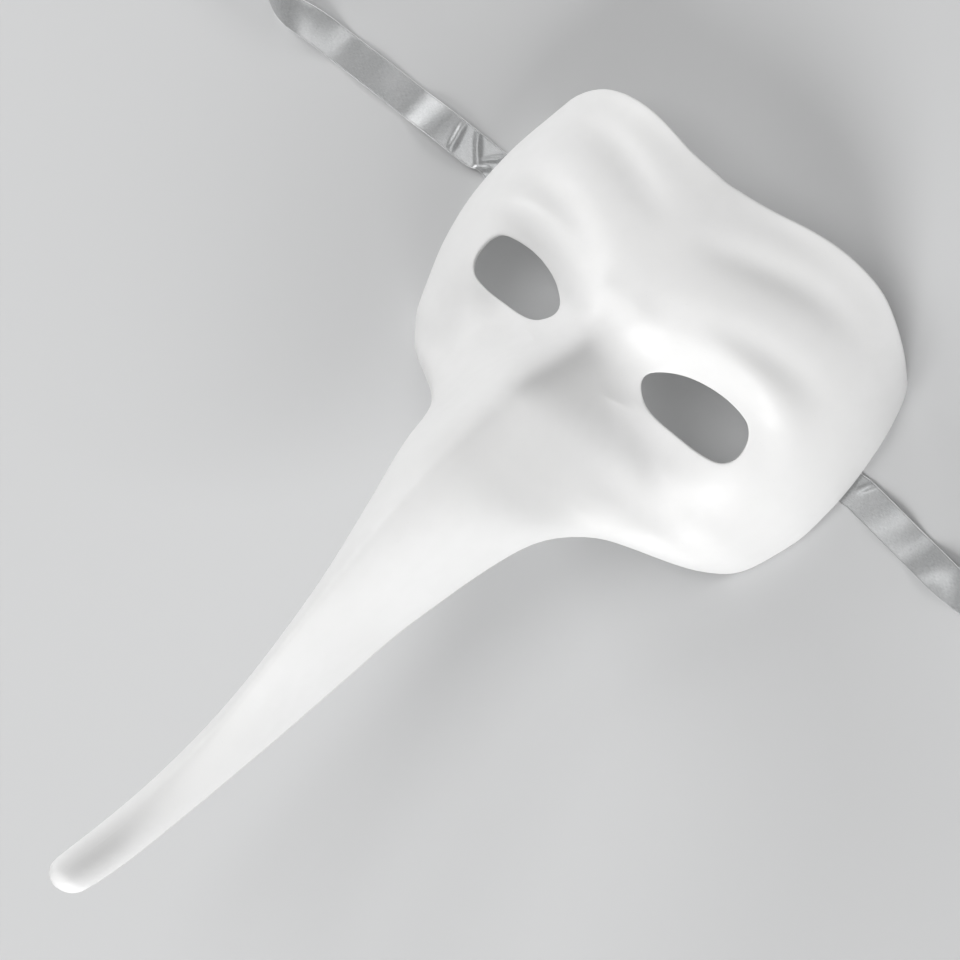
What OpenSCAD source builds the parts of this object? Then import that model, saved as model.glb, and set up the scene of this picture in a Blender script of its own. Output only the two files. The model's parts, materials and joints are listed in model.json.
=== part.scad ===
// Long-nosed carnival half mask, lying face up on its rim.
// +Z points out of the face, +Y towards the forehead, -Y towards the tip of the nose.
// The shell is one thin moulding: a face with two eye holes, and a nose that is open underneath.
// A tie ribbon is glued inside each temple, runs out under the rim and ends in a loose roll.

/* [Face] */
// Width across the temples
mask_w = 164; // [120:1:210]
// Height of the middle of the top edge above the eye line
top_rise = 64; // [50:1:80]
// Height that the top edge gains on its way to each forehead corner
top_crest = 5.5; // [0:0.5:8]
// Drop from the eye line to the crook between cheek and nose
crook_drop = 50; // [42:1:60]
// Depth of the face from the rim plane to the brow
face_depth = 61; // [50:1:74]
// Wall thickness of the face
wall = 1.3; // [0.8:0.1:2]

/* [Nose] */
// Drop from the eye line to the tip of the nose
nose_drop = 231; // [180:1:280]
// Height of the ridge of the nose above the rim plane
nose_out = 108; // [90:1:130]
// How far the tip curls forward of the ridge
tip_curl = 35; // [20:1:45]
// Width of the nose at the crook
nose_w = 62; // [50:1:76]
// Wall thickness at the tip of the nose
tip_wall = 0.7; // [0.5:0.1:1.3]

/* [Eyes] */
// Distance between the middles of the eye holes
eye_gap = 74; // [66:0.5:82]
// Width of an eye hole
eye_w = 38; // [28:0.5:44]
// Height of an eye hole
eye_h = 19; // [12:0.5:24]
// Depth of the socket around an eye hole
socket_depth = 9; // [4:0.5:13]

/* [Expression] */
// Depth of the furrow above each brow
furrow_depth = 2.4; // [0:0.1:4]
// Height of the brow ridge
brow_swell = 2.2; // [0:0.1:4]
// Depth of the hollow in each cheek
cheek_hollow = 4; // [0:0.5:7]
// Height of the fold between cheek and nose
fold_swell = 3; // [0:0.5:5]

/* [Ribbons] */
// Width of the satin ribbon
ribbon_w = 12; // [8:0.5:16]
// Thickness of the satin ribbon
ribbon_t = 0.3; // [0.2:0.05:0.6]
// Height of the left ribbon above the eye line where it leaves the rim
left_exit_y = 27.5; // [16:0.5:32]
// Height of the right ribbon above the eye line where it leaves the rim
right_exit_y = 14; // [10:0.5:26]
// Length of ribbon glued up the inside of the shell
tab_len = 16; // [10:1:24]
// Thickness of the glue between shell and ribbon
glue_t = 0.7; // [0.4:0.1:1.2]
// Thickness of the patch over the glued end
patch_t = 0.5; // [0.3:0.1:1]
// Margin of the patch around the glued end
patch_margin = 4; // [2:0.5:6]
// Inner radius of a rolled ribbon
roll_inner_r = 25; // [20:0.5:30]
// Outer radius of a rolled ribbon
roll_outer_r = 36; // [32:0.5:42]

/* [Hidden] */

half_w = mask_w / 2;
half_nose = nose_w / 2;
side_top = 0.82;                // station where the top edge turns into the side rim
fold_from = 0.45;               // station below which every row of the surface is level

// Stations down the mask: 1 is the top edge, 0 the eye line, -1 the crook and -2 the tip.
function station_y(s) = s >= 0 ? s * top_rise
    : s >= -1 ? s * crook_drop
    : -crook_drop + (s + 1) * (nose_drop - crook_drop);
function placed(list, unit = 1, base = 0) = [for (p = list) [station_y(p[0]), base + p[1] * unit]];

// Smooth curve through [place, value] pairs, level beyond its ends.
function span(t, v, i = 0) = i >= len(t) - 2 || v <= t[i + 1][0] ? i : span(t, v, i + 1);
function slope(t, i) = let (a = max(i - 1, 0), b = min(i + 1, len(t) - 1))
    (t[b][1] - t[a][1]) / (t[b][0] - t[a][0]);
function curve(t, v) = let (
    i = span(t, v),
    h = t[i + 1][0] - t[i][0],
    u = min(max((v - t[i][0]) / h, 0), 1),
    u2 = u * u,
    u3 = u2 * u)
    (2 * u3 - 3 * u2 + 1) * t[i][1] + (u3 - 2 * u2 + u) * h * slope(t, i)
    + (3 * u2 - 2 * u3) * t[i + 1][1] + (u3 - u2) * h * slope(t, i + 1);
function rim_height(y) = max(curve(rim_z, y), 0);
function bell(v, width) = exp(-pow(v / width, 2));
function ease(u) = let (c = min(max(u, 0), 1)) c * c * (3 - 2 * c);

// Half width of the rim.
rim_x = concat(
    placed([[-2, 0.05], [-1.997, 0.1], [-1.99, 0.165], [-1.98, 0.2], [-1.965, 0.22],
            [-1.9, 0.235], [-1.8, 0.24], [-1.67, 0.255], [-1.54, 0.28], [-1.4, 0.355], [-1.33, 0.425],
            [-1.27, 0.51], [-1.2, 0.61], [-1.13, 0.73], [-1.06, 0.89], [-1, 1.12]], half_nose),
    placed([[-0.92, 0.52], [-0.88, 0.585], [-0.84, 0.65], [-0.78, 0.73], [-0.7, 0.795], [-0.62, 0.845],
            [-0.54, 0.878], [-0.38, 0.92], [-0.18, 0.963], [0, 0.985], [0.2, 1], [0.45, 0.99],
            [0.61, 0.968], [0.75, 0.938], [0.82, 0.915]], half_w));

// Height of the rim: flat on the table at cheeks and temples, arched where a ribbon passes under.
rim_z = concat(
    placed([[-2, 1.225], [-1.975, 1.21], [-1.95, 1.165], [-1.9, 1.09], [-1.8, 0.965],
            [-1.7, 0.85], [-1.6, 0.75], [-1.54, 0.7], [-1.47, 0.655], [-1.4, 0.63], [-1.33, 0.61],
            [-1.27, 0.595], [-1.2, 0.575], [-1.13, 0.55], [-1.06, 0.505]], nose_out),
    placed([[-1, 0.55], [-0.92, 0.4], [-0.84, 0.26], [-0.76, 0.145], [-0.7, 0.055], [-0.64, 0], [-0.24, 0]],
           face_depth),
    placed([[0, 1.6], [0.22, 2.6], [0.46, 2.6], [0.6, 1.3], [0.69, 0], [0.75, 0], [0.82, 2]]));

// Height of the middle line: forehead, bridge, long ridge and tip.
crown_z = concat(
    placed([[-2, 0.76], [-1.997, 0.81], [-1.99, 0.85], [-1.975, 0.86], [-1.95, 0.77],
            [-1.9, 0.52], [-1.86, 0.36], [-1.8, 0.2], [-1.73, 0.09], [-1.67, 0.03], [-1.6, 0]],
           tip_curl, nose_out),
    placed([[-1.4, 1], [-1.27, 0.985], [-1.13, 0.95], [-1.06, 0.925], [-1, 0.89], [-0.8, 0.857],
            [-0.56, 0.815], [-0.3, 0.695]], nose_out),
    placed([[-0.08, 1.05], [0.1, 1.01], [0.2, 1.015], [0.4, 1], [0.7, 0.935], [1, 0.83]], face_depth));

// Height that the face would have in the middle without its nose.
dome_z = placed([[-1.2, 0.7], [-0.92, 0.68], [-0.54, 0.82], [-0.25, 0.92], [0, 0.97], [0.2, 0.99],
                 [0.4, 1], [0.7, 0.935], [1, 0.83]], face_depth);

// Half width of the bridge and nose where they grow out of the face.
bridge_x = placed([[-1.2, 6], [-1.08, 2], [-0.96, 1.1], [-0.75, 0.86], [-0.5, 0.68], [-0.25, 0.5],
                   [0, 0.42], [0.3, 0.42]], half_nose);

// Roundness of a section: below 1 the sides stand up more steeply.
section_power = placed([[-2, 0.9], [-1.85, 0.95], [-1.6, 1.08], [-1.3, 1.1], [-1.05, 0.95], [-0.9, 0.78],
                        [-0.65, 0.8], [-0.35, 1], [0, 1.08], [0.4, 1.05], [0.7, 0.95], [1, 0.85]]);

// Height of the narrow keel that runs down the ridge of the nose.
keel_z = placed([[-1.9, 0], [-1.7, 0.7], [-1.35, 1.1], [-1, 1], [-0.6, 0.5], [-0.3, 0]]);
keel_band = 2.6;

// Top edge from the middle to the forehead corner, as shares of its half width and of its height.
corner_y = station_y(side_top);
top_edge = [[0, top_rise], [0.23, top_rise + 0.3 * top_crest], [0.39, top_rise + 0.75 * top_crest],
            [0.54, top_rise + top_crest], [0.68, top_rise + 0.9 * top_crest],
            [0.8, top_rise + 0.5 * top_crest], [0.88, top_rise - 0.02 * corner_y],
            [0.95, 0.45 * corner_y + 0.55 * top_rise], [0.985, 0.75 * corner_y + 0.25 * top_rise],
            [1, corner_y]];
edge_steps = 60;
top_reach = max([for (i = [0:edge_steps]) curve(top_edge, i / edge_steps)]);

// The part's origin is under the middle of the shell, so the eye line lies this far up.
eye_line = (nose_drop - top_reach) / 2;

// Relief, for one half of the face, with x the distance from the middle.
lower_furrow = [[8, 13], [18, 18.5], [30, 24], [44, 27.5], [58, 28.5], [66, 25], [74, 14]];
lower_strength = [[8, 0], [18, 0.7], [30, 0.9], [44, 1], [58, 0.8], [68, 0.25], [76, 0]];
upper_furrow = [[0, 41], [12, 44.5], [30, 50], [46, 53], [60, 51], [72, 46]];
upper_strength = [[4, 0], [14, 0.55], [26, 1], [44, 1], [58, 0.4], [70, 0]];
brow_line = [[4, 9], [12, 11.5], [24, 15.5], [38, 19], [50, 20], [60, 17], [68, 8], [72, -4]];
brow_strength = [[0, 0], [10, 0.5], [26, 0.8], [44, 1], [58, 1], [68, 0.6], [78, 0]];
fold_line = [[-58, 28], [-50, 33], [-40, 36.5], [-30, 37], [-20, 33]];
fold_strength = [[-58, 0], [-50, 0.8], [-40, 1], [-30, 0.9], [-20, 0]];
socket_fade = 0.6;              // share of the socket's depth lost at the outer corner of the eye
furrow_band = 5;
brow_band = 5.5;
fold_band = 5;
hollow_at = [50, -27];
hollow_size = [13, 9];
hollow_lean = 0.5;
frown_at = [7, 12];             // small bump where each brow starts, with a dip between the two
frown_height = 1.6;
frown_dip = 1.2;
frown_band = 4;

function relief(x, y) =
    -furrow_depth * curve(lower_strength, x) * bell(y - curve(lower_furrow, x), furrow_band)
    - furrow_depth * curve(upper_strength, x) * bell(y - curve(upper_furrow, x), furrow_band)
    + brow_swell * curve(brow_strength, x) * bell(y - curve(brow_line, x), brow_band)
    - cheek_hollow * bell(x - hollow_at[0], hollow_size[0])
        * bell(y - hollow_at[1] - hollow_lean * (x - hollow_at[0]), hollow_size[1])
    + fold_swell * curve(fold_strength, y) * bell(x - curve(fold_line, y), fold_band)
    + frown_height * bell(x - frown_at[0], frown_band) * bell(y - frown_at[1], frown_band)
    - frown_dip * bell(x, frown_band) * bell(y - frown_at[1] + frown_band, frown_band);
function socket(x, y) = let (
    u = (x - eye_gap / 2) / (0.78 * eye_w),
    v = (y - 1) / (y > 1 ? 0.85 * eye_h : 1.15 * eye_h))
    socket_depth * (1 - socket_fade * ease(1.7 * (x - eye_gap / 2) / eye_w)) * exp(-pow(u * u + v * v, 2));

// Height of the full section over a point, before the rim pulls the sides down.
function crown(x, y) = let (
    dome = curve(dome_z, y),
    nose = (curve(crown_z, y) - dome) * bell(x, curve(bridge_x, y)),
    keel = curve(keel_z, y) * bell(x, keel_band))
    dome + nose + keel + relief(x, y) - socket(x, y);
function surface_z(x, y, edge_x, edge_z) = let (a = min(abs(x) / edge_x, 1))
    edge_z + (crown(abs(x), y) - edge_z) * pow(1 - a * a, curve(section_power, y) / 2);

// Shares of the mask's height at which the rows of the surface lie, and its columns.
top_rows = 11;
face_rows = 19;
crook_rows = 6;
nose_rows = 22;
tip_rows = 5;
last_row = top_rows + face_rows + crook_rows + nose_rows + tip_rows;
face_end = -0.72;
nose_evenness = 0.6;
tip_share = 0.035;              // share of the nose that the rows of its rounded end take
half_cols = 18;
centre_share = 0.58;
cols = 2 * half_cols + 1;
function across(u) = 90 * u * (centre_share + (1 - centre_share) * abs(u));
function row_station(r) = r <= top_rows ? side_top + (fold_from - side_top) * r / top_rows
    : r <= top_rows + face_rows ? fold_from + (face_end - fold_from) * (r - top_rows) / face_rows
    : r <= last_row - tip_rows - nose_rows
    ? face_end + (-1 - face_end) * (r - top_rows - face_rows) / crook_rows
    : r <= last_row - tip_rows ? let (v = (r - last_row + tip_rows + nose_rows) / nose_rows)
        -1 - (1 - tip_share) * (nose_evenness * v + (1 - nose_evenness) * ease(v))
    : -2 + tip_share * (1 - sin(90 * (r - last_row + tip_rows) / tip_rows));

// A point of the outer skin: row r counts down from the top edge, u runs from -1 to 1 across it.
function skin(r, u) = let (
    end_y = station_y(row_station(r)),
    edge_x = curve(rim_x, end_y),
    x = edge_x * sin(across(u)),
    level = min(r / top_rows, 1),
    y = level * end_y + (1 - level) * (end_y - corner_y + curve(top_edge, abs(sin(across(u))))))
    [x, y, surface_z(x, y, edge_x, rim_height(end_y))];
// The same skin by its place (x, y), where the rows are level.
function level_skin(x, y) = [x, y, surface_z(x, y, curve(rim_x, y), rim_height(y))];

// Wall thickness down the mask, and points moved in through the wall along the skin's normal.
function wall_at(y) = tip_wall + (wall - tip_wall) * ease((y + nose_drop) / (nose_drop - crook_drop));
function unit(v) = v / norm(v);
nudge = 0.02;
function lining(r, u) = let (
    down = skin(min(r + nudge, last_row), u) - skin(max(r - nudge, 0), u),
    side = skin(r, min(u + nudge, 1)) - skin(r, max(u - nudge, -1)),
    n = abs(u) == 1 ? unit([-u * down[1], u * down[0], 0]) : unit(cross(down, side)),
    p = skin(r, u))
    p - n * wall_at(p[1]);
function level_lining(x, y, depth = 0) = let (
    down = level_skin(x, y - nudge) - level_skin(x, y + nudge),
    side = level_skin(x + nudge, y) - level_skin(x - nudge, y))
    level_skin(x, y) - unit(cross(down, side)) * (wall_at(y) + depth);

// Eye hole: its radius by angle, as shares of half its width and height, 0 at the outer corner.
eye_radius = [[-28, 1.08], [0, 1], [27, 1.06], [46, 1.14], [71, 1.05], [90, 0.97], [105, 0.91],
              [130, 0.86], [157, 0.89], [182, 1], [215, 1.06], [234, 1.1], [254, 1.02], [270, 0.98],
              [298, 1.1], [313, 1.16], [332, 1.08], [360, 1], [387, 1.06]];
eye_margin = 3.2;
eye_top = top_rows + floor(face_rows
    * (fold_from - (eye_h / 2 + eye_margin) / top_rise) / (fold_from - face_end));
eye_foot = top_rows + ceil(face_rows
    * (fold_from + (eye_h / 2 + eye_margin) / crook_drop) / (fold_from - face_end));
function cols_within(x) = len([for (c = [1:half_cols]) if (skin(eye_foot, c / half_cols)[0] < x) c]);
eye_first = cols_within(eye_gap / 2 - eye_w / 2 - eye_margin);
eye_last = cols_within(eye_gap / 2 + eye_w / 2 + eye_margin) + 1;
eye_wide = eye_last - eye_first;
eye_tall = eye_foot - eye_top;
eye_points = 2 * (eye_wide + eye_tall);
eye_rings = 2;
ring_share = [0, 0.5, 1];

// Grid places around an eye hole, from its lower inner corner outwards and round.
function around_eye(i) = i < eye_wide ? [eye_foot, eye_first + i]
    : i < eye_wide + eye_tall ? [eye_foot - (i - eye_wide), eye_last]
    : i < 2 * eye_wide + eye_tall ? [eye_top, eye_last - (i - eye_wide - eye_tall)]
    : [eye_top + (i - 2 * eye_wide - eye_tall), eye_first];
function ring_place(i, ring) = let (
    g = around_eye(i),
    p = skin(g[0], g[1] / half_cols),
    angle = atan2(p[1] / eye_h, (p[0] - eye_gap / 2) / eye_w),
    radius = curve(eye_radius, angle < 0 ? angle + 360 : angle),
    hole = [eye_gap / 2 + radius * cos(angle) * eye_w / 2, radius * sin(angle) * eye_h / 2])
    [p[0], p[1]] + ring_share[ring] * (hole - [p[0], p[1]]);

// Places of the points in the shell's list: skin, lining, then the rings of both eyes.
lining_start = (last_row + 1) * cols;
rings_start = lining_start + last_row * cols;
function at_skin(r, c) = r * cols + c + half_cols;
function at_lining(r, c) = lining_start + at_skin(r, c);
function at_ring(i, ring, side, layer) = let (g = around_eye(i % eye_points))
    ring > 0 ? rings_start + ((ring - 1) * 4 + (side > 0 ? 0 : 2) + layer) * eye_points + i % eye_points
    : layer == 0 ? at_skin(g[0], side * g[1]) : at_lining(g[0], side * g[1]);
function in_eye(r, c) = let (a = c < 0 ? -c - 1 : c)
    r >= eye_top && r < eye_foot && a >= eye_first && a < eye_last;
function flip(face) = [for (i = [len(face) - 1:-1:0]) face[i]];
function quad(a, b, c, d, lean) = lean ? [[a, b, c], [a, c, d]] : [[a, b, d], [b, c, d]];

shell_points = function () concat(
    [for (r = [0:last_row]) for (c = [-half_cols:half_cols]) skin(r, c / half_cols)],
    [for (r = [0:last_row - 1]) for (c = [-half_cols:half_cols]) lining(r, c / half_cols)],
    [for (ring = [1:eye_rings]) for (side = [1, -1]) for (layer = [0, 1]) for (i = [0:eye_points - 1])
        let (p = ring_place(i, ring),
             q = layer == 0 ? level_skin(p[0], p[1]) : level_lining(p[0], p[1]))
        [side * q[0], q[1], q[2]]]);

shell_faces = function () concat(
    // Outer skin and lining
    [for (r = [0:last_row - 1]) for (c = [-half_cols:half_cols - 1]) if (!in_eye(r, c))
        each quad(at_skin(r, c), at_skin(r, c + 1), at_skin(r + 1, c + 1), at_skin(r + 1, c), c >= 0)],
    [for (r = [0:last_row - 2]) for (c = [-half_cols:half_cols - 1]) if (!in_eye(r, c))
        for (f = quad(at_lining(r, c), at_lining(r, c + 1), at_lining(r + 1, c + 1),
                      at_lining(r + 1, c), c >= 0)) flip(f)],
    // Rings around the eyes, and the walls of the holes
    [for (side = [1, -1]) for (layer = [0, 1]) for (ring = [0:eye_rings - 1])
        for (i = [0:eye_points - 1]) for (f = quad(
            at_ring(i, ring, side, layer), at_ring(i, ring + 1, side, layer),
            at_ring(i + 1, ring + 1, side, layer), at_ring(i + 1, ring, side, layer), true))
        side * (layer == 0 ? 1 : -1) > 0 ? f : flip(f)],
    [for (side = [1, -1]) for (i = [0:eye_points - 1])
        for (f = quad(at_ring(i, eye_rings, side, 0), at_ring(i, eye_rings, side, 1),
                      at_ring(i + 1, eye_rings, side, 1), at_ring(i + 1, eye_rings, side, 0), true))
        side > 0 ? f : flip(f)],
    // Top edge and side rims
    [for (c = [-half_cols:half_cols - 1])
        each quad(at_skin(0, c), at_lining(0, c), at_lining(0, c + 1), at_skin(0, c + 1), true)],
    [for (r = [0:last_row - 2]) for (side = [1, -1])
        for (f = quad(at_skin(r, side * half_cols), at_lining(r, side * half_cols),
                      at_lining(r + 1, side * half_cols), at_skin(r + 1, side * half_cols), true))
        side > 0 ? f : flip(f)],
    // Closed tip
    [for (k = [0:half_cols - 1]) let (
        l = at_skin(last_row, k - half_cols),
        r = at_skin(last_row, half_cols - k))
        each [if (k < half_cols - 1) [l + 1, r - 1, r], [l, l + 1, r]]],
    [for (k = [0:half_cols - 1]) let (
        l = at_lining(last_row - 1, k - half_cols),
        r = at_lining(last_row - 1, half_cols - k))
        each [if (k < half_cols - 1) [r, r - 1, l + 1], [r, l + 1, l]]],
    let (l = -half_cols, r = half_cols, end = last_row, last = last_row - 1)
    [[at_skin(last, l), at_skin(end, l), at_lining(last, l)],
     [at_lining(last, l), at_skin(end, l), at_skin(end, r)],
     [at_lining(last, l), at_skin(end, r), at_lining(last, r)],
     [at_lining(last, r), at_skin(end, r), at_skin(last, r)]]);

module mask_shell() {
    color("white")
        translate([0, eye_line, 0])
        polyhedron(points = shell_points(), faces = shell_faces());
}

// A thin plate on the lining above the rim, centred on y, between two depths below the lining.
plate_steps = 6;
function plate_x(y, z) = let (edge_x = curve(rim_x, y), edge_z = rim_height(y))
    edge_x * sqrt(1 - pow((z - edge_z) / (crown(edge_x, y) - edge_z), 2 / curve(section_power, y)));
module lining_plate(side, y, width, low, high, near, far) {
    n = plate_steps + 1;
    grid = [for (depth = [near, far]) for (j = [0:plate_steps]) for (k = [0:plate_steps])
        let (py = y + width * (0.5 - j / plate_steps),
             q = level_lining(plate_x(py, low + (high - low) * k / plate_steps), py, depth))
        [side * q[0], q[1], q[2]]];
    base = n * n;
    border = concat([for (k = [0:plate_steps]) k], [for (j = [1:plate_steps]) j * n + plate_steps],
                    [for (k = [plate_steps - 1:-1:0]) plate_steps * n + k],
                    [for (j = [plate_steps - 1:-1:1]) j * n]);
    faces = concat(
        [for (j = [0:plate_steps - 1]) for (k = [0:plate_steps - 1])
            each quad(j * n + k, (j + 1) * n + k, (j + 1) * n + k + 1, j * n + k + 1, true)],
        [for (j = [0:plate_steps - 1]) for (k = [0:plate_steps - 1])
            for (f = quad(j * n + k, (j + 1) * n + k, (j + 1) * n + k + 1, j * n + k + 1, true))
            flip([f[0] + base, f[1] + base, f[2] + base])],
        [for (i = [0:len(border) - 1]) let (a = border[i], b = border[(i + 1) % len(border)])
            each quad(a, b, b + base, a + base, true)]);
    translate([0, eye_line, 0])
        polyhedron(points = grid, faces = side > 0 ? faces : [for (f = faces) flip(f)]);
}

// A flat ribbon swept along [place, twist] stations that head along +X; twist 0 lies flat.
module ribbon(stations) {
    last = len(stations) - 1;
    function heading(i) = unit(stations[min(i + 1, last)][0] - stations[max(i - 1, 0)][0]);
    rings = [for (i = [0:last]) let (
        d = heading(i),
        flat = unit(cross([0, 0, 1], abs(d[2]) > 0.99 ? [d[2] > 0 ? -1 : 1, 0, 0] : [d[0], d[1], 0])),
        up = unit(cross(d, flat)),
        wide = flat * cos(stations[i][1]) + up * sin(stations[i][1]),
        thick = unit(cross(d, wide)))
        for (corner = [[-1, -1], [1, -1], [1, 1], [-1, 1]])
            stations[i][0] + wide * corner[0] * ribbon_w / 2 + thick * corner[1] * ribbon_t / 2];
    polyhedron(
        points = rings,
        faces = concat([[0, 1, 2], [0, 2, 3]],
            [for (i = [0:last - 1]) for (k = [0:3]) let (a = 4 * i + k, b = 4 * i + (k + 1) % 4)
                each quad(a, a + 4, b + 4, b, k != 2)],
            [[4 * last, 4 * last + 2, 4 * last + 1], [4 * last, 4 * last + 3, 4 * last + 2]]));
}

// Each ribbon leaves the rim over a fold line just outside it, a paper's thickness above the table.
// A route's entries are distance out from the fold, shift along Y, and twist from flat to on edge.
table_gap = 0.05;
bed_z = table_gap + ribbon_t / 2;
fold_gap = 0.6;
fold_play = 0.5;
key_depth = 0.25;               // how far the glue keys into the wall and each layer into the next
layer_key = 0.05;
glue_inset = 1;
tab_low = 4;
hook_low = 3.2;
left_route = [[0, 0, 0], [4, 0, 0], [12, 0.1, 0], [26, 0.3, 0], [40, 0.5, 0], [56, 0.8, 0],
              [74, 1, 0], [84, 1.1, 12], [92, 1.2, 30], [100, 1.3, 52], [108, 1.4, 72], [116, 1.5, 86],
              [124, 1.5, 90], [138, 1.5, 90]];
right_route = [[0, 0, 0], [3, 0, 0], [10, -0.9, 0], [22, -2.5, 0], [34, -4, 0], [44, -5.1, 12],
               [52, -5.9, 30], [60, -6.6, 52], [68, -7.2, 72], [76, -7.7, 86], [84, -8, 90],
               [94, -8, 90]];

function fold_x(y) = curve(rim_x, y) + fold_gap;
function route_point(y, p) = [[fold_x(y) + p[0] + (p[0] == 0 ? fold_play : 0), y + p[1],
                               bed_z + sin(p[2]) * ribbon_w / 2], p[2]];

// The glued end of a ribbon: down the lining, leaning with it, then hooked under the rim to the fold.
tab_steps = 6;
function tab_point(y, z) = level_lining(plate_x(y, z), y, glue_t + ribbon_t / 2);
function tab_lean(y, z) = let (half = ribbon_w / 2)
    atan((tab_point(y + half, z)[0] - tab_point(y - half, z)[0]) / ribbon_w);
function tab_station(y, z) = let (p = tab_point(y, z)) [[p[0], y, p[2]], tab_lean(y, z)];
module tab(y) {
    foot = tab_station(y, hook_low);
    in = foot[0][0];
    out = fold_x(y);
    down = [for (i = [0:tab_steps]) tab_station(y, tab_low + tab_len * (1 - i / tab_steps))];
    hook = [[[in + 0.1, y, 0.5 * hook_low], foot[1] / 2], [[0.8 * in + 0.2 * out, y, 0.2 * hook_low], 0],
            [[(in + out) / 2, y, 1.5 * bed_z], 0], [[out, y, bed_z], 0]];
    color("whitesmoke")
        translate([0, eye_line, 0])
        ribbon(concat(down, [foot], hook));
}
module glue_pad(side, y) {
    color("ivory")
        lining_plate(side, y, ribbon_w + 2 * (patch_margin - glue_inset), tab_low - glue_inset,
                     tab_low + tab_len + patch_margin - glue_inset, -key_depth, glue_t + layer_key);
}
module cover_patch(side, y) {
    color("white")
        lining_plate(side, y, ribbon_w + 2 * patch_margin, tab_low, tab_low + tab_len + patch_margin,
                     glue_t + ribbon_t - layer_key, glue_t + ribbon_t + patch_t);
}
module ribbon_run(y, route) {
    color("whitesmoke")
        translate([0, eye_line, 0])
        ribbon([for (p = route) route_point(y, p)]);
}

// A loose roll of ribbon on edge, met by the run half a turn's pitch inside its outer face.
roll_pitch = 4;
module ribbon_roll(y, route, turn_side) {
    end = route_point(y, route[len(route) - 1])[0];
    color("whitesmoke")
        translate([end[0], end[1] + turn_side * (roll_outer_r - roll_pitch / 4) + eye_line, table_gap])
        rotate_extrude($fn = 72)
        translate([roll_inner_r, 0])
        square([roll_outer_r - roll_inner_r, ribbon_w]);
}

mask_shell();
glue_pad(-1, left_exit_y);  // glue_pad_left
mirror([1, 0, 0]) tab(left_exit_y);  // ribbon_tab_left
cover_patch(-1, left_exit_y);  // cover_patch_left
mirror([1, 0, 0]) ribbon_run(left_exit_y, left_route);  // ribbon_run_left
mirror([1, 0, 0]) ribbon_roll(left_exit_y, left_route, 1);  // ribbon_roll_left
glue_pad(1, right_exit_y);  // glue_pad_right
tab(right_exit_y);  // ribbon_tab_right
cover_patch(1, right_exit_y);  // cover_patch_right
ribbon_run(right_exit_y, right_route);  // ribbon_run_right
ribbon_roll(right_exit_y, right_route, 1);  // ribbon_roll_right
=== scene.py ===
import bpy
import bmesh
import json
import math
from mathutils import Matrix, Vector


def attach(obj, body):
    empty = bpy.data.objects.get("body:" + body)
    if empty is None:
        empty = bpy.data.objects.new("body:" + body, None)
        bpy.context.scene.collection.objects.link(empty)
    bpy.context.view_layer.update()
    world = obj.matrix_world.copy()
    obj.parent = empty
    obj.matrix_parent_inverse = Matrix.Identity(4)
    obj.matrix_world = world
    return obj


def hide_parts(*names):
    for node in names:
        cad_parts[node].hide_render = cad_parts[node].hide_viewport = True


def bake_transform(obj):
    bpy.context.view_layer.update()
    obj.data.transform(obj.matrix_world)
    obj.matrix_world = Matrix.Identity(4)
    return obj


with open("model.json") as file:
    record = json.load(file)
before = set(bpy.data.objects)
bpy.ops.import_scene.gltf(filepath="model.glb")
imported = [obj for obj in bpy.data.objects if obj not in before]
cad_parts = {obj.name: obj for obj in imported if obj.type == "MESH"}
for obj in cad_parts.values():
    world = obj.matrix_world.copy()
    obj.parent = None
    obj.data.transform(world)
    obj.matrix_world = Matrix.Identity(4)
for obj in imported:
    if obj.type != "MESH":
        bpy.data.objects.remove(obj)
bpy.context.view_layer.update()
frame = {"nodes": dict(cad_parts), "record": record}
mm = 0.001
mounts = {mount["name"]: Vector(mount["pos_m"]) for mount in frame["record"]["mounts"]}
eyeLine = mounts["wearer_face"].y    # the eye holes' height along +Y
print("frame loaded")


def deselectAll():
    if bpy.context.object and bpy.context.object.mode != "OBJECT":
        bpy.ops.object.mode_set(mode="OBJECT")
    bpy.ops.object.select_all(action="DESELECT")


def makeActive(thing):
    deselectAll()
    thing.select_set(True)
    bpy.context.view_layer.objects.active = thing


def applyModifiers(thing):
    makeActive(thing)
    for modifier in list(thing.modifiers):
        bpy.ops.object.modifier_apply(modifier=modifier.name)


def ease(t):
    t = min(max(t, 0), 1)
    return t * t * (3 - 2 * t)


def bell(x, width):
    return math.exp(-(x / width) ** 2)


# the camera looks down on the mask from its right, with the nose leaning to the lower left
view = {
    "aim": (-4.5, -59, 46),    # mm, from the middle of the eye line at table height
    "distance": 1.1,
    "sideways": 18,            # degrees towards +X
    "turn": 38.55,
    "lens": 128.9,
}


def makeCamera(settings):
    slant, turn = math.radians(settings["sideways"]), math.radians(settings["turn"])
    back = Vector((math.sin(slant), 0, math.cos(slant)))
    level = Vector((math.cos(slant), 0, -math.sin(slant)))
    rise = Vector((0, 1, 0))
    right = level * math.cos(turn) + rise * math.sin(turn)
    up = rise * math.cos(turn) - level * math.sin(turn)
    aim = Vector(settings["aim"]) * mm + Vector((0, eyeLine, 0))
    deselectAll()
    bpy.ops.object.camera_add()
    camera = bpy.context.object
    camera.name = "Camera"
    camera.matrix_world = (Matrix.Translation(aim + back * settings["distance"])
                           @ Matrix((right, up, back)).transposed().to_4x4())
    camera.data.lens = settings["lens"]
    camera.data.sensor_width = 36
    camera.data.clip_start = 0.05
    camera.data.clip_end = 20
    bpy.context.scene.camera = camera


makeCamera(view)
print("camera placed")

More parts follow.
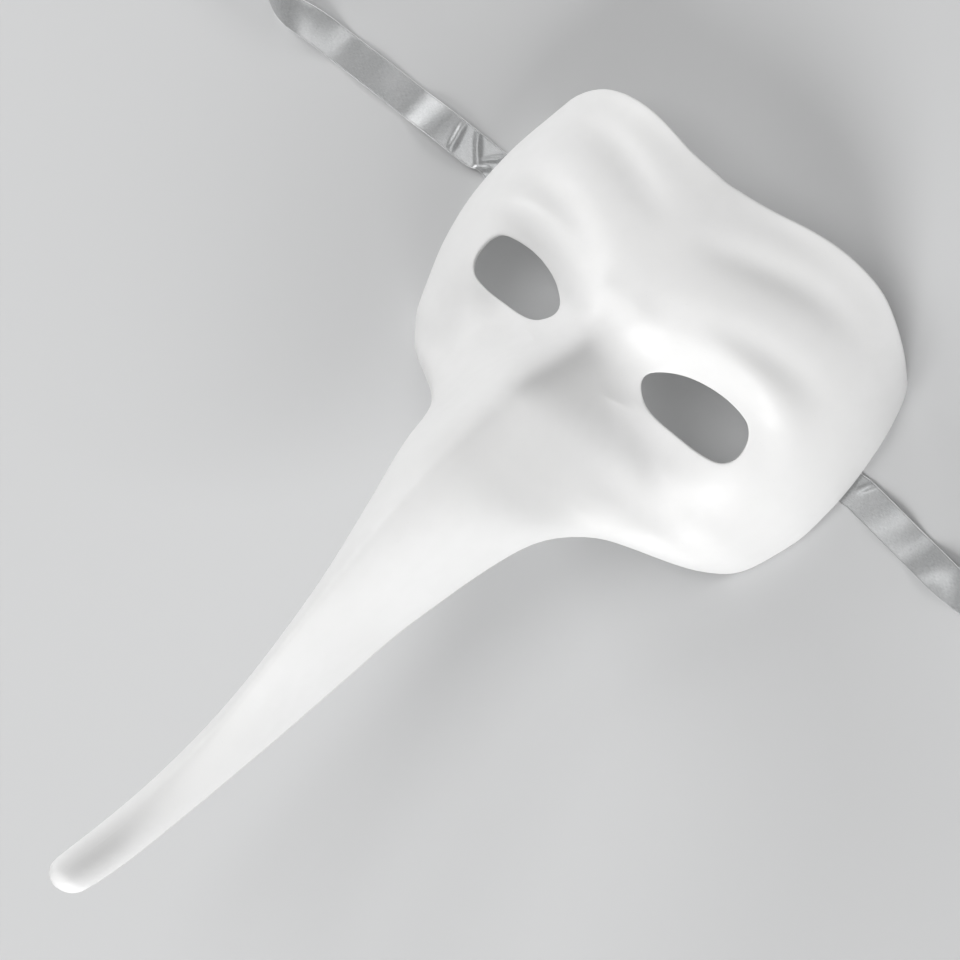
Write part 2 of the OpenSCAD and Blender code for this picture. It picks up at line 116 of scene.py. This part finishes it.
# each ribbon, in mm: out is measured from the mask's middle, exitY above the eye line
# a glued point is (out, height off the table, lean in degrees)
# a route point is (out from the fold, shift, twist in degrees)
# a wave is (along, lift), and waves are joined smoothly
# a tilt is (along, lift of one edge, reach), minus for the nose side's edge
# a pleat is (along, across, degrees, half length, half width, height)
# a pinch is (along, how far the nose side's edge is drawn in, reach)
leftRibbon = {
    "side": -1,
    "exitY": 27.5,
    "foldX": 81.91,
    "glued": [(75.26, 19.09, -5.4), (76.36, 16.55, -5.5), (77.27, 14.01, -5.6), (78, 11.47, -5.8),
              (78.56, 8.94, -5.9), (78.94, 6.42, -6), (79.14, 3.92, -6), (79.19, 3.13, -6),
              (79.29, 1.6, -3), (79.73, 0.64, 0), (80.55, 0.3, 0)],
    "route": [(0, 0, 0), (4, 0, 0), (12, 0.1, 0), (26, 0.3, 0), (40, 0.5, 0), (56, 0.8, 0), (74, 1, 0),
              (84, 1.1, 3), (92, 1.2, 16), (100, 1.3, 42), (108, 1.4, 70), (116, 1.5, 86),
              (124, 1.5, 90), (138, 1.5, 90)],
    "rollSide": 1,
    "rollTurns": 2.1,
    "waves": [(0, 0), (26, 3), (43, 0.3), (56, 0.6), (73, 0.1), (93, 3), (112, 0)],
    "tilts": [(13, 0.8, 12), (34, -0.3, 6), (62, 0.5, 8), (84, 0.6, 8)],
    "pleats": [(3.8, 2.3, -47, 6, 0.9, 0.6), (6.2, -4.4, -38, 3.2, 0.8, 0.8), (10.5, -0.3, 54, 7.4, 1, 0.6),
               (19.5, 0, 80, 5.6, 1.3, 0.6)],
    "pinch": (6.2, 1.4, 3.2),
}
rightRibbon = {
    "side": 1,
    "exitY": 14,
    "foldX": 82.61,
    "glued": [(75.57, 19.04, 2.6), (76.74, 16.49, 2.3), (77.73, 13.95, 1.9), (78.53, 11.42, 1.6),
              (79.15, 8.89, 1.2), (79.58, 6.38, 0.9), (79.82, 3.89, 0.7), (79.85, 3.13, 0.7),
              (79.95, 1.6, 0.3), (80.4, 0.64, 0), (81.23, 0.3, 0)],
    "route": [(0, 0, 0), (3, 0, 0), (10, -0.9, 0), (22, -2.5, 0), (34, -4, 0), (44, -5.1, 12),
              (52, -5.9, 30), (60, -6.6, 52), (68, -7.2, 72), (76, -7.7, 86), (84, -8, 90),
              (94, -8, 90)],
    "rollSide": 1,
    "rollTurns": 2.35,
    "waves": [(0, 0), (14, 0.9), (27, 0.1), (39, 1), (50, 0)],
    "tilts": [(20, 0.8, 7), (36, -0.7, 6)],
    "pleats": [(2.5, 3.2, 60, 3.4, 0.9, 0.5)],
    "pinch": (0, 0, 1),
}
ribbonCut = {
    "width": 12,
    "thickness": 0.25,
    "bed": 0.22,                # the middle of the ribbon above the table
    "rollRadius": 35,
    "rollPitch": 4,
    "length": 550,
    "knotsPerTurn": 24,
    "stepsPerKnot": 10,
    "fineFrom": -8,             # the creased stretch has closer rows
    "fineTo": 27,
    "fineStep": 0.6,
    "step": 1.8,
    "columns": 24,
    "flatAtFold": 3,            # no lift before the ribbon is this far out
    "pleatFade": 1.4,
    "endSlant": 0.7,            # the far end is cut off aslant
    "endReach": 18,
    "smoothAngle": 50,
    "pathStep": 6,
    "bendBefore": 0.6,          # the fold's bend starts and ends here, either side of the exit
    "bendAfter": 8,
}


def ribbonKnots(ribbon):
    side, y = ribbon["side"], ribbon["exitY"]
    half = ribbonCut["width"] / 2
    knots = []
    for out, height, lean in ribbon["glued"]:
        a = math.radians(lean)
        knots.append((Vector((side * out, y, height)), Vector((side * math.sin(a), math.cos(a), 0))))
    for out, shift, twist in ribbon["route"]:
        t = math.radians(twist)
        place = Vector((side * (ribbon["foldX"] + out), y + shift, ribbonCut["bed"] + half * math.sin(t)))
        knots.append((place, Vector((0, math.cos(t), math.sin(t)))))
    end = knots[-1][0]
    middle = end + Vector((0, ribbon["rollSide"] * ribbonCut["rollRadius"], 0))
    start = -ribbon["rollSide"] * math.pi / 2
    perTurn = ribbonCut["knotsPerTurn"]
    for k in range(1, round(ribbon["rollTurns"] * perTurn) + 1):
        turn = 2 * math.pi * k / perTurn
        radius = ribbonCut["rollRadius"] - ribbonCut["rollPitch"] * turn / (2 * math.pi)
        angle = start + turn * side * ribbon["rollSide"]
        knots.append((middle + radius * Vector((math.cos(angle), math.sin(angle), 0)), Vector((0, 0, 1))))
    return knots


def throughKnots(knots, i, t):
    def spline(which):
        a, b, c, d = (knots[min(max(i + k, 0), len(knots) - 1)][which] for k in (-1, 0, 1, 2))
        return 0.5 * (2 * b + (c - a) * t + (2 * a - 5 * b + 4 * c - d) * t ** 2
                      + (3 * b - a - 3 * c + d) * t ** 3)
    return spline(0), spline(1)


def ribbonLine(ribbon):
    # places, across directions and lengths along, close together, counted from the fold
    knots, steps = ribbonKnots(ribbon), ribbonCut["stepsPerKnot"]
    places, acrosses, lengths = [], [], [0]
    for i in range(len(knots) - 1):
        for k in range(steps):
            place, across = throughKnots(knots, i, k / steps)
            places.append(place)
            acrosses.append(across)
    for a, b in zip(places, places[1:]):
        lengths.append(lengths[-1] + (b - a).length)
    fold = lengths[steps * len(ribbon["glued"])]
    return places, acrosses, [length - fold for length in lengths]


def ribbonFrame(line, along):
    places, acrosses, lengths = line
    low, high = 0, len(lengths) - 1
    while high - low > 1:
        middle = (low + high) // 2
        if lengths[middle] <= along:
            low = middle
        else:
            high = middle
    t = (along - lengths[low]) / (lengths[high] - lengths[low])
    heading = (places[high] - places[low]).normalized()
    across = acrosses[low].lerp(acrosses[high], t)
    across = (across - heading * across.dot(heading)).normalized()
    return places[low].lerp(places[high], t), heading, across


def liftAt(ribbon, along, across):
    half = ribbonCut["width"] / 2
    lift = 0
    for (low, lowLift), (high, highLift) in zip(ribbon["waves"], ribbon["waves"][1:]):
        if low <= along < high:
            lift = lowLift + (highLift - lowLift) * ease((along - low) / (high - low))
    for at, height, reach in ribbon["tilts"]:
        share = (across / half + 1) / 2 if height > 0 else (1 - across / half) / 2
        lift += abs(height) * share * bell(along - at, reach)
    for at, over, degrees, long, wide, height in ribbon["pleats"]:
        c, s = math.cos(math.radians(degrees)), math.sin(math.radians(degrees))
        u = (along - at) * c + (across - over) * s
        v = (across - over) * c - (along - at) * s
        lift += height * bell(v, wide) * ease(ribbonCut["pleatFade"] - abs(u) / long)
    return lift * ease(along / ribbonCut["flatAtFold"])


def makeRibbon(name, ribbon):
    line = ribbonLine(ribbon)
    half = ribbonCut["width"] / 2
    first = line[2][0]
    last = min(first + ribbonCut["length"], line[2][-1])
    stations, along = [], first
    while along < last:
        stations.append(along)
        creased = ribbonCut["fineFrom"] < along < ribbonCut["fineTo"]
        along += ribbonCut["fineStep"] if creased else ribbonCut["step"]
    stations.append(last)
    mesh = bpy.data.meshes.new(name)
    build = bmesh.new()
    uvLayer = build.loops.layers.uv.new("UVMap")
    pinchAt, pinchBy, pinchReach = ribbon["pinch"]
    toWorld = Vector((0, eyeLine, 0))
    rows = []
    for along in stations:
        row = []
        for c in range(ribbonCut["columns"] + 1):
            across = half * (2 * c / ribbonCut["columns"] - 1)
            nearEnd = ease((along - last + ribbonCut["endReach"]) / ribbonCut["endReach"])
            here = along - ribbonCut["endSlant"] * (across + half) * nearEnd
            place, heading, side = ribbonFrame(line, here)
            face = heading.cross(side) * ribbon["side"]
            drawn = pinchBy * bell(here - pinchAt, pinchReach) * (1 - across / half) / 2
            lift = liftAt(ribbon, here, across)
            vertex = build.verts.new((place + side * (across + drawn) + face * lift) * mm + toWorld)
            row.append((vertex, (c / ribbonCut["columns"], here / ribbonCut["width"])))
        rows.append(row)
    for low, high in zip(rows, rows[1:]):
        for c in range(ribbonCut["columns"]):
            corners = [low[c], high[c], high[c + 1], low[c + 1]]
            if ribbon["side"] < 0:
                corners.reverse()
            made = build.faces.new([vertex for vertex, uv in corners])
            for loop, (vertex, uv) in zip(made.loops, corners):
                loop[uvLayer].uv = uv
    build.to_mesh(mesh)
    build.free()
    strip = bpy.data.objects.new(name, mesh)
    bpy.context.collection.objects.link(strip)
    solid = strip.modifiers.new("Thickness", "SOLIDIFY")
    solid.thickness = ribbonCut["thickness"] * mm
    solid.offset = 0
    applyModifiers(strip)
    bpy.ops.object.shade_smooth_by_angle(angle=math.radians(ribbonCut["smoothAngle"]))
    alongs, along = [], first
    while along < last:
        alongs.append(along)
        along += ribbonCut["pathStep"]
    alongs.append(last - ribbonCut["endSlant"] * half)
    path = [tuple(ribbonFrame(line, along)[0] * mm + toWorld) for along in alongs]
    return strip, path, (last - first) * mm


for name, ribbon, mount, body in (("left", leftRibbon, "tie_left", "ribbon_left"),
                                  ("right", rightRibbon, "tie_right", "ribbon_right")):
    strip, path, length = makeRibbon("satin_ribbon_" + name, ribbon)
    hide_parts("ribbon_tab_" + name, "ribbon_run_" + name, "ribbon_roll_" + name)
    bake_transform(strip)
    ribbon["strip"] = strip
    print(name, "ribbon laid,", round(length, 3), "m")

# the shell: the moulding's own mesh, merged, hand trimmed, its edges broken and smoothed
shellFinish = {
    "mergeWithin": 0.02,
    "trimWobble": 0.35,       # how far the cut edges wander, mm
    "trimReach": 22,          # and over what length
    "edgeRound": 0.22,
    "edgeAngle": 50,          # an edge sharper than this was cut, not moulded
    "smoothLevels": 1,
}


def makeShell():
    deselectAll()
    frame["nodes"]["mask_shell"].select_set(True)
    bpy.context.view_layer.objects.active = frame["nodes"]["mask_shell"]
    bpy.ops.object.duplicate()
    shell = bpy.context.object
    shell.name = "moulded_shell"
    shell.data.name = "moulded_shell"
    shell.hide_set(False)
    shell.hide_render = False
    makeActive(shell)
    bpy.ops.object.mode_set(mode="EDIT")
    bpy.ops.mesh.select_mode(type="EDGE")
    bpy.ops.mesh.select_all(action="SELECT")
    bpy.ops.mesh.remove_doubles(threshold=shellFinish["mergeWithin"] * mm)
    bpy.ops.mesh.tris_convert_to_quads(face_threshold=math.radians(60), shape_threshold=math.radians(70))
    bpy.ops.mesh.select_all(action="DESELECT")
    bpy.ops.mesh.edges_select_sharp(sharpness=math.radians(shellFinish["edgeAngle"]))
    trimmed = shell.vertex_groups.new(name="trimmedEdge")
    bpy.ops.object.vertex_group_assign()
    bpy.ops.object.mode_set(mode="OBJECT")
    wander = bpy.data.textures.new("trimWander", "CLOUDS")
    wander.noise_scale = shellFinish["trimReach"] * mm
    wander.noise_depth = 1
    for axis in ("X", "Y"):
        wobble = shell.modifiers.new("Trim" + axis, "DISPLACE")
        wobble.texture = wander
        wobble.texture_coords = "LOCAL"
        wobble.direction = axis
        wobble.strength = 2 * shellFinish["trimWobble"] * mm
        wobble.vertex_group = trimmed.name
    rounding = shell.modifiers.new("Edges", "BEVEL")
    rounding.width = shellFinish["edgeRound"] * mm
    rounding.segments = 1
    rounding.limit_method = "ANGLE"
    rounding.angle_limit = math.radians(shellFinish["edgeAngle"])
    smooth = shell.modifiers.new("Smooth", "SUBSURF")
    smooth.levels = shellFinish["smoothLevels"]
    smooth.render_levels = shellFinish["smoothLevels"]
    applyModifiers(shell)
    bpy.ops.object.shade_smooth()
    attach(shell, "mask")
    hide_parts("mask_shell")
    return shell


shell = makeShell()
print("shell finished,", len(shell.data.polygons), "faces")


def newMaterial(name):
    material = bpy.data.materials.new(name)
    material.use_nodes = True
    return material, material.node_tree, material.node_tree.nodes["Principled BSDF"]


def addNode(tree, kind, **values):
    node = tree.nodes.new(kind)
    for key, value in values.items():
        if key in node.inputs:
            node.inputs[key].default_value = value
        else:
            setattr(node, key, value)
    return node


def addNoise(tree, vector, scale, detail, roughness=0.5):
    node = addNode(tree, "ShaderNodeTexNoise", Scale=scale, Detail=detail, Roughness=roughness)
    tree.links.new(vector, node.inputs["Vector"])
    return node.outputs["Fac"]


def addRamp(tree, source, stops):
    ramp = addNode(tree, "ShaderNodeValToRGB")
    for k, (place, colour) in enumerate(stops):
        stop = ramp.color_ramp.elements[k] if k < 2 else ramp.color_ramp.elements.new(place)
        stop.position = place
        stop.color = (*colour, 1) if len(colour) == 3 else (colour[0], colour[0], colour[0], 1)
    tree.links.new(source, ramp.inputs["Fac"])
    return ramp.outputs["Color"]


def addRange(tree, source, low, high, toLow, toHigh):
    node = addNode(tree, "ShaderNodeMapRange")
    for socket, value in zip(("From Min", "From Max", "To Min", "To Max"), (low, high, toLow, toHigh)):
        node.inputs[socket].default_value = value
    tree.links.new(source, node.inputs["Value"])
    return node.outputs["Result"]


def addMath(tree, operation, first, second):
    node = addNode(tree, "ShaderNodeMath", operation=operation)
    for socket, value in zip(node.inputs, (first, second)):
        if isinstance(value, (int, float)):
            socket.default_value = value
        else:
            tree.links.new(value, socket)
    return node.outputs["Value"]


def addMix(tree, share, first, second, blend="MIX"):
    node = addNode(tree, "ShaderNodeMix", data_type="RGBA", blend_type=blend)
    for socket, value in ((node.inputs[0], share), (node.inputs[6], first), (node.inputs[7], second)):
        if isinstance(value, (int, float)):
            socket.default_value = value
        elif isinstance(value, tuple):
            socket.default_value = (*value, 1)
        else:
            tree.links.new(value, socket)
    return node.outputs[2]


def addBump(tree, height, distance, strength, under=None):
    node = addNode(tree, "ShaderNodeBump", Strength=strength, Distance=distance)
    tree.links.new(height, node.inputs["Height"])
    if under:
        tree.links.new(under, node.inputs["Normal"])
    return node.outputs["Normal"]


def eggshellPlastic():
    material, tree, shader = newMaterial("eggshellPlastic")
    place = addNode(tree, "ShaderNodeTexCoord").outputs["Object"]
    cloudy = addNoise(tree, place, 22, 3)
    mottle = addNoise(tree, place, 160, 4)
    grain = addNoise(tree, place, 1500, 3, 0.6)
    specks = addNode(tree, "ShaderNodeTexVoronoi", Scale=420)
    tree.links.new(place, specks.inputs["Vector"])
    base = addRamp(tree, cloudy, [(0.3, (0.86, 0.86, 0.855)), (0.7, (0.9, 0.9, 0.9))])
    dusty = addRange(tree, mottle, 0.35, 0.75, 0, 0.35)
    base = addMix(tree, dusty, base, (0.84, 0.84, 0.835))
    dots = addRange(tree, specks.outputs["Distance"], 0.03, 0.07, 0.25, 0)
    base = addMix(tree, dots, base, (0.6, 0.59, 0.57))
    tree.links.new(base, shader.inputs["Base Color"])
    dull = addMath(tree, "ADD", addRange(tree, cloudy, 0.3, 0.7, 0.42, 0.5),
                   addRange(tree, mottle, 0.3, 0.7, -0.04, 0.05))
    tree.links.new(dull, shader.inputs["Roughness"])
    waves = addBump(tree, addNoise(tree, place, 45, 2), 1.2 * mm, 0.1)
    skin = addBump(tree, mottle, 0.25 * mm, 0.12, waves)
    tree.links.new(addBump(tree, grain, 0.05 * mm, 0.18, skin), shader.inputs["Normal"])
    shader.inputs["IOR"].default_value = 1.46
    shader.inputs["Specular IOR Level"].default_value = 0.4
    return material


def satinWeave():
    material, tree, shader = newMaterial("satinWeave")
    uv = addNode(tree, "ShaderNodeUVMap", uv_map="UVMap").outputs["UV"]
    parts = addNode(tree, "ShaderNodeSeparateXYZ")
    tree.links.new(uv, parts.inputs["Vector"])
    u, v = parts.outputs["X"], parts.outputs["Y"]
    fromEdge = addMath(tree, "SUBTRACT", 0.5, addMath(tree, "ABSOLUTE", addMath(tree, "SUBTRACT", u, 0.5), 0))
    # the weave's floats run along the ribbon and are a tenth of a millimetre across
    stretch = addNode(tree, "ShaderNodeMapping")
    stretch.inputs["Scale"].default_value = (95, 9, 1)
    tree.links.new(uv, stretch.inputs["Vector"])
    floats = addNoise(tree, stretch.outputs["Vector"], 1, 2)
    uneven = addNoise(tree, uv, 1.3, 2)
    crushed = addNoise(tree, uv, 16, 3, 0.65)
    # selvedge: a row of tight stitches just inside each edge
    stitch = addMath(tree, "SINE", addMath(tree, "MULTIPLY", v, 2 * math.pi / 0.045), 0)
    inRow = addMath(tree, "MULTIPLY", addRange(tree, fromEdge, 0.02, 0.035, 0, 1),
                    addRange(tree, fromEdge, 0.05, 0.065, 1, 0))
    stitches = addMath(tree, "MULTIPLY", inRow, addRange(tree, stitch, -0.2, 0.6, 0, 1))
    # the very edge is a raised bead: its bump and roughness are real, and its lighter colour is a painted
    # highlight along each edge
    edgeBeadAndHighlight = addRange(tree, fromEdge, 0.012, 0.03, 1, 0)
    base = addRamp(tree, floats, [(0.3, (0.36, 0.37, 0.375)), (0.7, (0.62, 0.63, 0.635))])
    base = addMix(tree, addRange(tree, uneven, 0.35, 0.65, 0, 0.5), base, (0.56, 0.565, 0.57))
    base = addMix(tree, addRange(tree, crushed, 0.5, 0.75, 0, 0.45), base, (0.36, 0.365, 0.37))
    base = addMix(tree, addMath(tree, "MULTIPLY", stitches, 0.55), base, (0.24, 0.245, 0.25))
    # painted highlight: the edge bead's colour is lifted towards white
    base = addMix(tree, addMath(tree, "MULTIPLY", edgeBeadAndHighlight, 0.7), base, (0.85, 0.85, 0.86))
    tree.links.new(base, shader.inputs["Base Color"])
    tree.links.new(addMath(tree, "ADD", addRange(tree, floats, 0.3, 0.7, 0.33, 0.43),
                           addMath(tree, "MULTIPLY", edgeBeadAndHighlight, 0.2)), shader.inputs["Roughness"])
    weave = addBump(tree, floats, 0.05 * mm, 0.5)
    crush = addBump(tree, crushed, 0.12 * mm, 0.4, weave)
    ribs = addMath(tree, "SUBTRACT", edgeBeadAndHighlight, stitches)
    tree.links.new(addBump(tree, ribs, 0.08 * mm, 0.6, crush), shader.inputs["Normal"])
    along = addNode(tree, "ShaderNodeTangent", direction_type="UV_MAP", uv_map="UVMap")
    tree.links.new(along.outputs["Tangent"], shader.inputs["Tangent"])
    shader.inputs["Metallic"].default_value = 0.55
    shader.inputs["Anisotropic"].default_value = 0.6
    shader.inputs["Sheen Weight"].default_value = 0.15
    shader.inputs["Sheen Roughness"].default_value = 0.4
    return material


def hotMelt():
    material, tree, shader = newMaterial("hotMelt")
    place = addNode(tree, "ShaderNodeTexCoord").outputs["Object"]
    runs = addNoise(tree, place, 260, 2)
    bubbles = addNode(tree, "ShaderNodeTexVoronoi", Scale=900)
    tree.links.new(place, bubbles.inputs["Vector"])
    base = addRamp(tree, runs, [(0.3, (0.7, 0.64, 0.5)), (0.7, (0.84, 0.8, 0.69))])
    inBubble = addRange(tree, bubbles.outputs["Distance"], 0.1, 0.2, 0.35, 0)
    base = addMix(tree, inBubble, base, (0.9, 0.88, 0.8))
    tree.links.new(base, shader.inputs["Base Color"])
    tree.links.new(addRange(tree, runs, 0.3, 0.7, 0.18, 0.32), shader.inputs["Roughness"])
    drips = addBump(tree, runs, 0.6 * mm, 0.5)
    tree.links.new(addBump(tree, bubbles.outputs["Distance"], 0.1 * mm, 0.3, drips), shader.inputs["Normal"])
    return material


def whiteFelt():
    material, tree, shader = newMaterial("whiteFelt")
    place = addNode(tree, "ShaderNodeTexCoord").outputs["Object"]
    stretch = addNode(tree, "ShaderNodeMapping")
    stretch.inputs["Scale"].default_value = (1, 0.35, 1)
    stretch.inputs["Rotation"].default_value = (0, 0, 0.6)
    tree.links.new(place, stretch.inputs["Vector"])
    fibres = addNoise(tree, stretch.outputs["Vector"], 2600, 5, 0.7)
    tufts = addNoise(tree, place, 420, 4, 0.6)
    base = addRamp(tree, fibres, [(0.3, (0.62, 0.62, 0.6)), (0.7, (0.86, 0.86, 0.84))])
    base = addMix(tree, addRange(tree, tufts, 0.4, 0.7, 0, 0.4), base, (0.74, 0.74, 0.72))
    tree.links.new(base, shader.inputs["Base Color"])
    shader.inputs["Roughness"].default_value = 0.95
    shader.inputs["Sheen Weight"].default_value = 0.35
    shader.inputs["Sheen Roughness"].default_value = 0.6
    lumps = addBump(tree, tufts, 0.4 * mm, 0.5)
    tree.links.new(addBump(tree, fibres, 0.12 * mm, 0.7, lumps), shader.inputs["Normal"])
    return material


def wear(thing, material):
    thing.data.materials.clear()
    thing.data.materials.append(material)


wear(shell, eggshellPlastic())
satin = satinWeave()
for ribbon in (leftRibbon, rightRibbon):
    wear(ribbon["strip"], satin)
glue, felt = hotMelt(), whiteFelt()
for name, thing in frame["nodes"].items():
    if name.startswith("glue_pad"):
        thing.material_slots[0].material = glue
    if name.startswith("cover_patch"):
        thing.material_slots[0].material = felt
print("materials on")

studio = {
    "floorSize": 8,
    "floorColour": (0.66, 0.665, 0.67),
    "worldColour": (1, 0.995, 0.99),
    "worldStrength": 0.21,
    "lampsAim": (0, 0, 0.03),
    "lamps": [    # name, place in metres, size, watts
        ("noseSideBox", (1.25, -1.2, 0.95), 1, 31),
        ("farSideBox", (-1.65, 0.1, 0.75), 0.9, 14),
        ("browBox", (-0.9, 1.5, 1), 0.8, 6),
        ("topBox", (-0.2, -0.1, 1.4), 0.6, 3.4),    # brings up the satin's waves
    ],
}


def makeStudio(settings):
    deselectAll()
    bpy.ops.mesh.primitive_plane_add(size=settings["floorSize"], location=(0, 0, -0.2 * mm))
    floor = bpy.context.object
    floor.name = "floor"
    paper, tree, shader = newMaterial("palePaper")
    place = addNode(tree, "ShaderNodeTexCoord").outputs["Object"]
    base = addMix(tree, addNoise(tree, place, 3, 2), settings["floorColour"],
                  tuple(0.97 * c for c in settings["floorColour"]))
    tree.links.new(base, shader.inputs["Base Color"])
    shader.inputs["Roughness"].default_value = 0.9
    wear(floor, paper)
    bpy.context.scene.view_settings.view_transform = "Standard"
    world = bpy.data.worlds.new("studio")
    bpy.context.scene.world = world
    world.use_nodes = True
    world.node_tree.nodes["Background"].inputs["Color"].default_value = (*settings["worldColour"], 1)
    world.node_tree.nodes["Background"].inputs["Strength"].default_value = settings["worldStrength"]
    for name, place, size, watts in settings["lamps"]:
        deselectAll()
        bpy.ops.object.light_add(type="AREA", location=place)
        lamp = bpy.context.object
        lamp.name = name
        lamp.data.shape = "DISK"
        lamp.data.size = size
        lamp.data.energy = watts
        towards = Vector(settings["lampsAim"]) - Vector(place)
        lamp.rotation_euler = towards.to_track_quat("-Z", "Y").to_euler()


makeStudio(studio)
print("studio lit")
